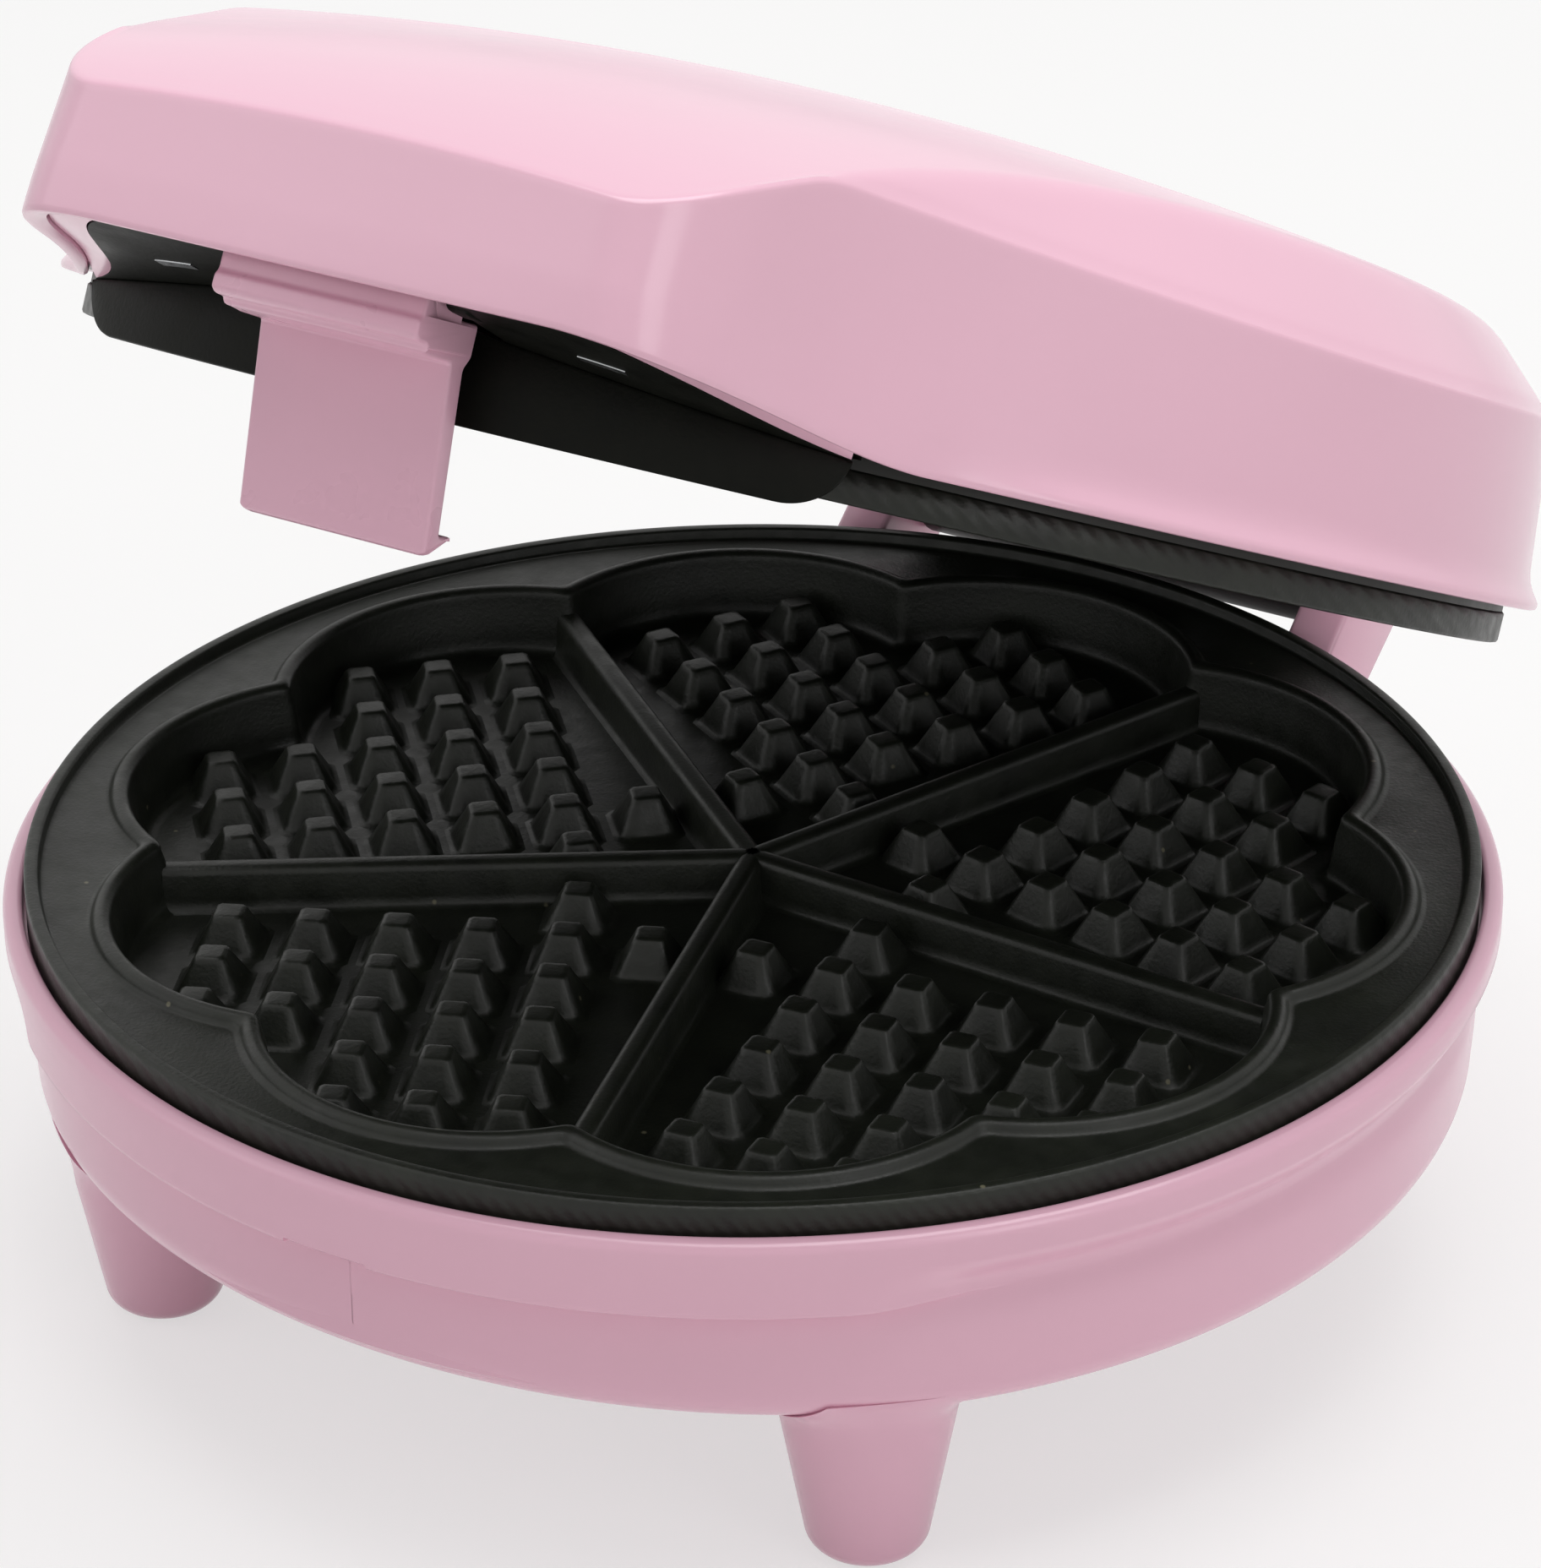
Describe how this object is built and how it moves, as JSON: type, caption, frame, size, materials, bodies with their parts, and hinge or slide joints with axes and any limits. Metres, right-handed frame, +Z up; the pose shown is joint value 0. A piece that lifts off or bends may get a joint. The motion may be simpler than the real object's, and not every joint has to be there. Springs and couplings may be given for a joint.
{
  "type": "waffle maker",
  "caption": "Round tabletop waffle maker: a domed lid with a nose and a sprung latch, hinged to a base on feet, with heart-shaped moulds in its coated baking plates.",
  "frame": {"origin": "middle of the box round the machine with its lid open, on the table under the feet", "axes": "+X to the right as seen from the front, where the latch is, +Y towards the hinge, +Z up"},
  "size_m": [0.196, 0.2131, 0.1814],
  "materials": {
    "pink_plastic_base": "satin",
    "pink_plastic_lid": "satin",
    "pink_plastic_latch": "satin",
    "coated_aluminium": "semi-gloss non-stick coating",
    "black_plastic": "fine texture",
    "pad_rubber": "matte",
    "element_steel": "oxidised",
    "sheet_steel": "bright rolled sheet",
    "frame_steel": "zinc plated",
    "screw_steel": "zinc plated",
    "pin_steel": "polished",
    "spring_steel": "drawn wire",
    "fuse_brass": "satin",
    "thermostat_ceramic": "satin",
    "terminal_ceramic": "matte",
    "wire_rubber": "matte",
    "lens_plastic": "glossy",
    "board_laminate": "satin"
  },
  "bodies": {
    "base": {"base_shell": "pink_plastic_base", "feet": "pink_plastic_base", "foot_pads": "pad_rubber", "lower_plate": "coated_aluminium", "lower_heating_element": "element_steel", "lower_reflector": "sheet_steel", "lower_plate_screws": "screw_steel", "thermostat": "thermostat_ceramic", "thermal_fuse": "fuse_brass", "terminal_block": "terminal_ceramic", "base_wiring": "wire_rubber", "cord_gland": "black_plastic", "indicator_lenses": "lens_plastic", "lamp_board": "board_laminate", "hinge_pin": "pin_steel"},
    "lid": {"lid_shell": "pink_plastic_lid", "lid_frame": "frame_steel", "front_guard": "black_plastic", "guard_screws": "screw_steel", "upper_plate": "coated_aluminium", "upper_plate_screws": "screw_steel", "upper_heating_element": "element_steel", "upper_reflector": "sheet_steel", "upper_reflector_screws": "screw_steel", "hinge_block": "black_plastic", "hinge_block_screws": "screw_steel", "latch_pin": "pin_steel", "latch_spring": "spring_steel"},
    "latch_lever": {"latch": "pink_plastic_latch"}
  },
  "joints": [
    {"name": "lid_hinge", "type": "hinge", "parent": "base", "child": "lid", "pos_m": [0, 0.09805, 0.05855], "axis": [-1, 0, 0], "range_deg": [-26.5, 78.5]},
    {"name": "latch_pivot", "type": "hinge", "parent": "lid", "child": "latch_lever", "pos_m": [0, -0.09055, 0.16459], "axis": [-1, 0, 0], "range_deg": [-4.5, 10], "stiffness_Nm_per_rad": 0.03}
  ]
}
